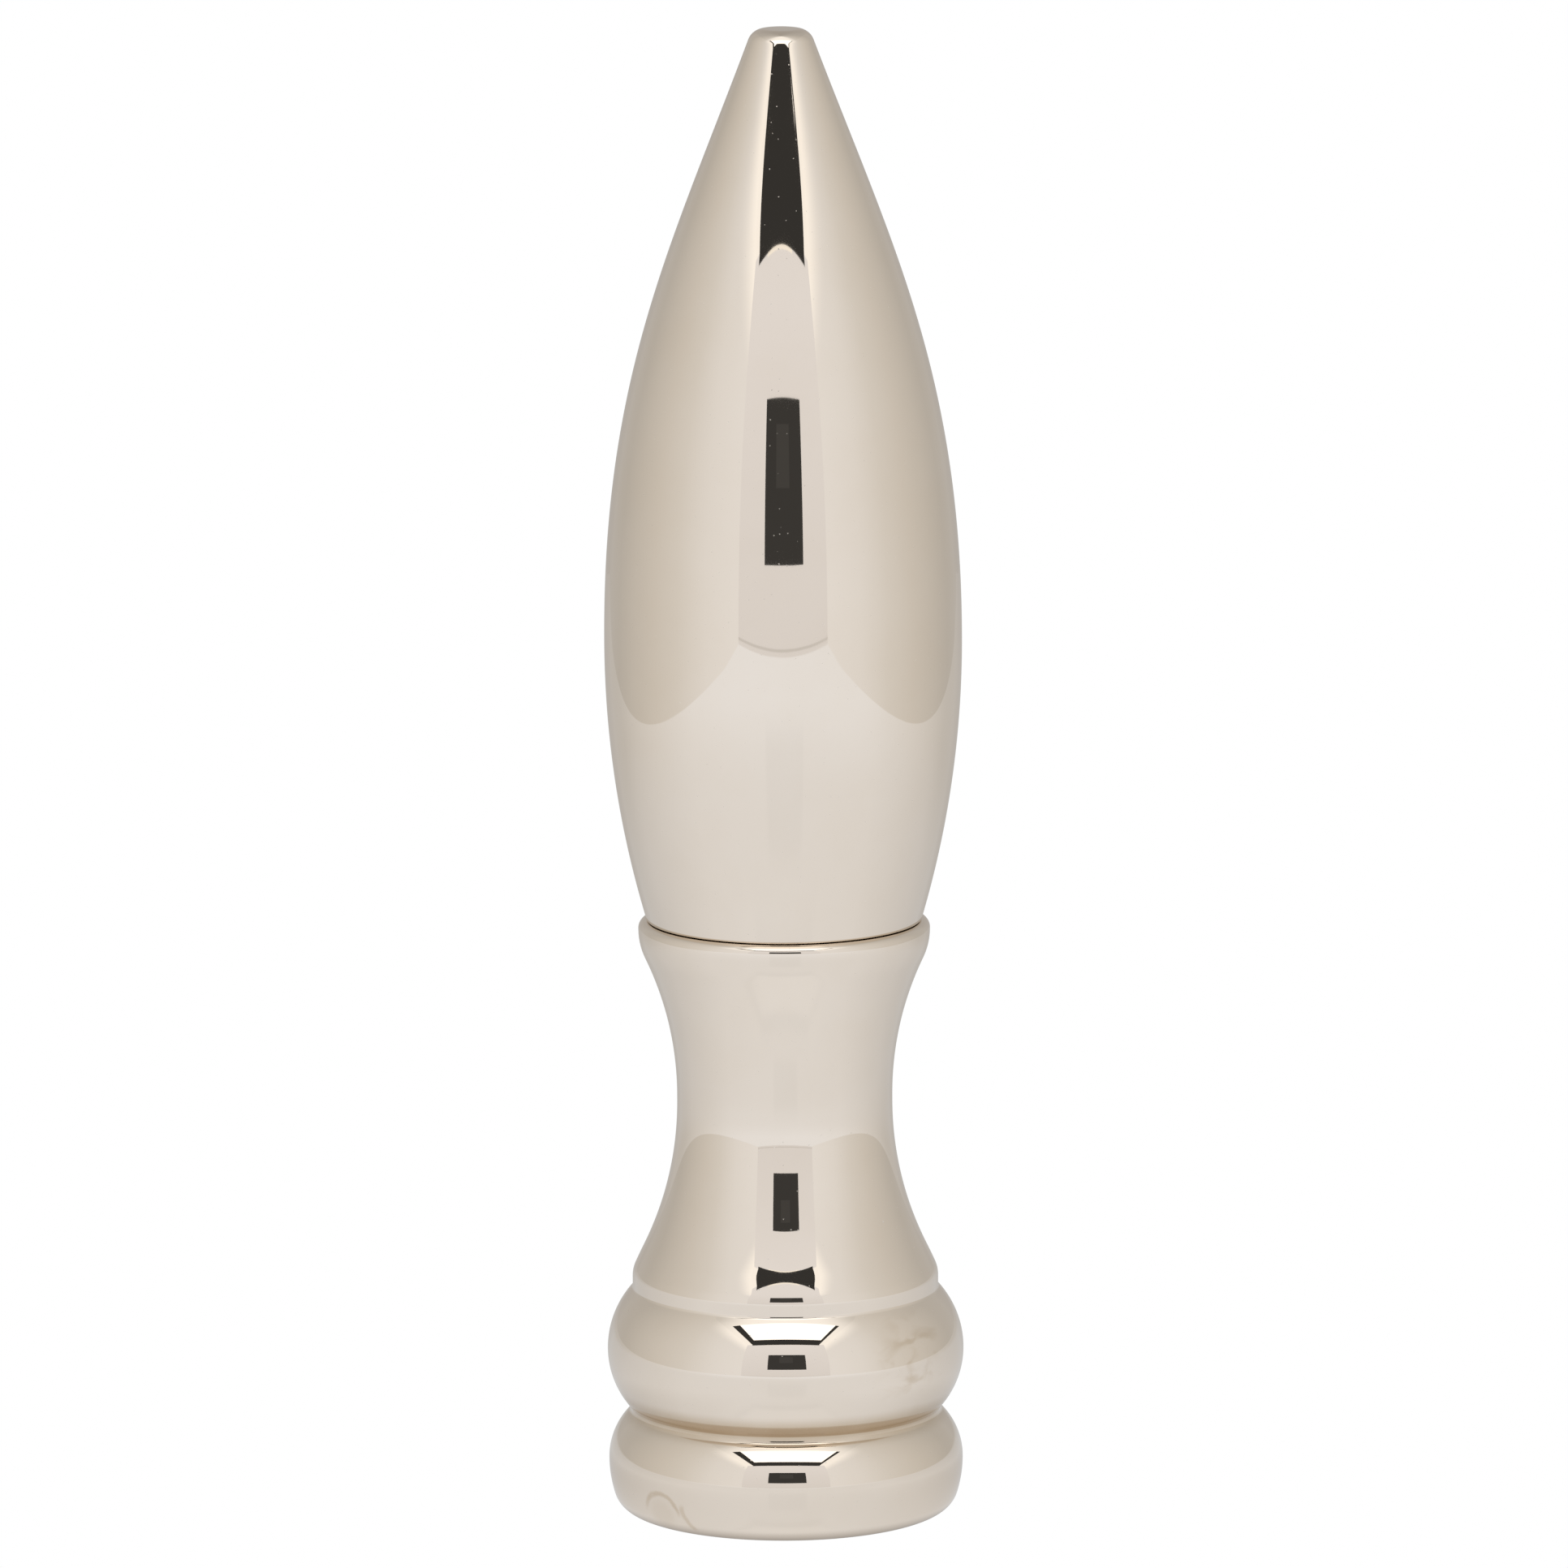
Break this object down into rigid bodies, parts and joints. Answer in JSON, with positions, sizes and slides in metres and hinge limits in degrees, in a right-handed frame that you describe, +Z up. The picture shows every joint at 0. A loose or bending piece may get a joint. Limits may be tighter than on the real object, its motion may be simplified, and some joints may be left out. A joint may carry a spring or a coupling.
{
  "type": "lamp finial",
  "caption": "Two-piece turned lamp finial: a pointed torpedo spire screwed on a stud into a waisted cup base with bead rings and a threaded bush underneath.",
  "frame": {"origin": "on the turning axis, in the plane that the base stands on", "axes": "+Z up along the turning axis, from the base to the tip; the bush's slot lies along X"},
  "size_m": [0.018, 0.018, 0.0756],
  "materials": {
    "polished_nickel": "polished",
    "stud_steel": "satin",
    "bush_brass": "satin"
  },
  "bodies": {
    "base": {"cup_base": "polished_nickel", "thread_bush": "bush_brass"},
    "stud": {"joining_stud": "stud_steel"},
    "spire": {"spire_body": "polished_nickel"}
  },
  "joints": [
    {"name": "spire_turn", "type": "hinge", "parent": "base", "child": "stud", "pos_m": [0, 0, 0.02888], "axis": [0, 0, 1], "range_deg": [0, 3600]},
    {"name": "spire_lift", "type": "slide", "parent": "stud", "child": "spire", "axis": [0, 0, 1], "range_m": [0, 0.00794]}
  ],
  "couplings": [
    {"joint": "spire_turn", "follows": "spire_lift", "rad_per_m": 7915.8}
  ]
}
